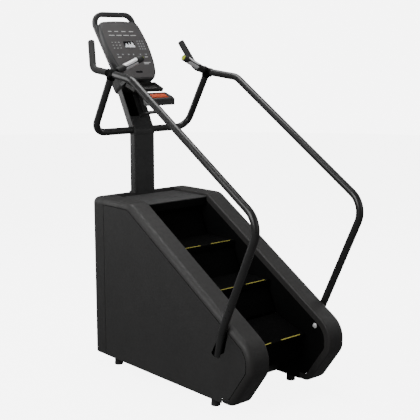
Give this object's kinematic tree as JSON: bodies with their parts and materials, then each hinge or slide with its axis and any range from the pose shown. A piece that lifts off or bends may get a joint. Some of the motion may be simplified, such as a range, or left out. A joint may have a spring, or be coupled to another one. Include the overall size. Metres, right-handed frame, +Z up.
{
  "type": "stair climber",
  "caption": "Upright stair climber with a driven loop of steps between covered side housings, a mast with console, handrails and hand grips",
  "frame": {"origin": "bottom centre of the bounding box, on the floor", "axes": "+X is the user's right, +Y is ahead of the user towards the console, +Z is up"},
  "size_m": [0.86, 1.7906, 2.2004],
  "materials": {
    "cover_black": "satin black moulded plastic with a fine grain",
    "inner_black": "matt black moulded plastic",
    "frame_steel": "black powder coat",
    "rail_paint": "black powder coat on tube",
    "grip_rubber": "matt rubber",
    "bare_steel": "bare machined steel",
    "polished": "polished metal contact",
    "tread_grey": "textured black coat on extruded aluminium",
    "console_grey": "satin dark grey plastic",
    "overlay_dark": "printed membrane overlay",
    "smoke": "smoked display window",
    "lime": "lime moulded plastic",
    "orange": "orange moulded plastic",
    "deck_grey": "ribbed grey plastic",
    "board_green": "circuit board laminate"
  },
  "bodies": {
    "frame": {"accessory_tray": "cover_black", "base_frame": "frame_steel", "console_board": "board_green", "console_front_shell": "console_grey", "console_neck": "cover_black", "console_overlay": "overlay_dark", "console_rear_shell": "cover_black", "display_window": "smoke", "drive_belt": "grip_rubber", "drive_controller": "bare_steel", "front_cover": "cover_black", "generator": "bare_steel", "grab_hoop": "cover_black", "handlebar_frame": "rail_paint", "left_clamp": "inner_black", "left_handrail": "rail_paint", "left_horn_grip": "grip_rubber", "left_inner_panel": "inner_black", "left_pulse_grip": "grip_rubber", "left_pulse_plate": "polished", "left_rim_cover": "cover_black", "left_side_panel": "cover_black", "left_step_chain": "bare_steel", "mast": "frame_steel", "power_inlet": "inner_black", "right_clamp": "inner_black", "right_handrail": "rail_paint", "right_horn_grip": "grip_rubber", "right_inner_panel": "inner_black", "right_pulse_grip": "grip_rubber", "right_pulse_plate": "polished", "right_rim_cover": "cover_black", "right_side_panel": "cover_black", "right_step_chain": "bare_steel", "step_sensor": "polished", "stop_arm": "frame_steel", "stop_housing": "inner_black", "top_deck": "deck_grey", "upper_mast": "frame_steel"},
    "stair_train": {"upper_tread": "tread_grey", "middle_tread": "tread_grey", "lower_tread": "tread_grey", "upper_riser": "tread_grey", "middle_riser": "tread_grey", "lower_riser": "tread_grey"},
    "bottom_step": {"bottom_tread": "tread_grey", "bottom_riser": "tread_grey"},
    "return_train": {"return_tread_1": "tread_grey", "return_tread_2": "tread_grey", "return_tread_3": "tread_grey"},
    "upper_axle_body": {"upper_axle": "bare_steel"},
    "lower_axle_body": {"lower_axle": "bare_steel"},
    "flywheel_body": {"flywheel": "bare_steel"},
    "left_thumb_button_body": {"left_thumb_button": "lime"},
    "right_thumb_button_body": {"right_thumb_button": "lime"},
    "stop_button_body": {"stop_button": "orange"},
    "foot_rear_left_body": {"foot_rear_left": "grip_rubber"},
    "foot_rear_right_body": {"foot_rear_right": "grip_rubber"},
    "foot_front_left_body": {"foot_front_left": "grip_rubber"},
    "foot_front_right_body": {"foot_front_right": "grip_rubber"}
  },
  "joints": [
    {"name": "stair_slide", "type": "slide", "parent": "frame", "child": "stair_train", "axis": [0, -0.8478, -0.5302], "range_m": [0, 0.06]},
    {"name": "bottom_step_turn", "type": "hinge", "parent": "frame", "child": "bottom_step", "pos_m": [0, -0.28758, 0.2452], "axis": [1, 0, 0], "range_deg": [0, 18.2]},
    {"name": "return_slide", "type": "slide", "parent": "frame", "child": "return_train", "axis": [0, 0.8478, 0.5302], "range_m": [0, 0.0602]},
    {"name": "upper_axle_spin", "type": "hinge", "parent": "frame", "child": "upper_axle_body", "pos_m": [0, 0.54119, 0.93122], "axis": [1, 0, 0], "range_deg": [0, 72]},
    {"name": "lower_axle_spin", "type": "hinge", "parent": "frame", "child": "lower_axle_body", "pos_m": [0, -0.40543, 0.3392], "axis": [1, 0, 0], "range_deg": [0, 72]},
    {"name": "flywheel_spin", "type": "hinge", "parent": "frame", "child": "flywheel_body", "pos_m": [0, 0.39697, 0.258], "axis": [1, 0, 0], "range_deg": [0, 216]},
    {"name": "left_thumb_press", "type": "slide", "parent": "frame", "child": "left_thumb_button_body", "axis": [-0.917, 0.0782, -0.3911], "range_m": [0, 0.002], "stiffness_N_per_m": 1500, "springref_m": -0.001},
    {"name": "right_thumb_press", "type": "slide", "parent": "frame", "child": "right_thumb_button_body", "axis": [0.917, 0.0782, -0.3911], "range_m": [0, 0.002], "stiffness_N_per_m": 1500, "springref_m": -0.001},
    {"name": "stop_press", "type": "slide", "parent": "frame", "child": "stop_button_body", "axis": [0, 0.4478, -0.8942], "range_m": [0, 0.004], "stiffness_N_per_m": 2500, "springref_m": -0.002},
    {"name": "foot_rear_left_level", "type": "slide", "parent": "frame", "child": "foot_rear_left_body", "axis": [0, 0, 1], "range_m": [0, 0.01]},
    {"name": "foot_rear_right_level", "type": "slide", "parent": "frame", "child": "foot_rear_right_body", "axis": [0, 0, 1], "range_m": [0, 0.01]},
    {"name": "foot_front_left_level", "type": "slide", "parent": "frame", "child": "foot_front_left_body", "axis": [0, 0, 1], "range_m": [0, 0.01]},
    {"name": "foot_front_right_level", "type": "slide", "parent": "frame", "child": "foot_front_right_body", "axis": [0, 0, 1], "range_m": [0, 0.01]}
  ],
  "couplings": [
    {"joint": "bottom_step_turn", "follows": "stair_slide", "rad_per_m": 5.2632},
    {"joint": "return_slide", "follows": "stair_slide", "ratio": 1},
    {"joint": "upper_axle_spin", "follows": "stair_slide", "rad_per_m": 20.833},
    {"joint": "lower_axle_spin", "follows": "stair_slide", "rad_per_m": 20.833},
    {"joint": "flywheel_spin", "follows": "stair_slide", "rad_per_m": 62.5}
  ]
}
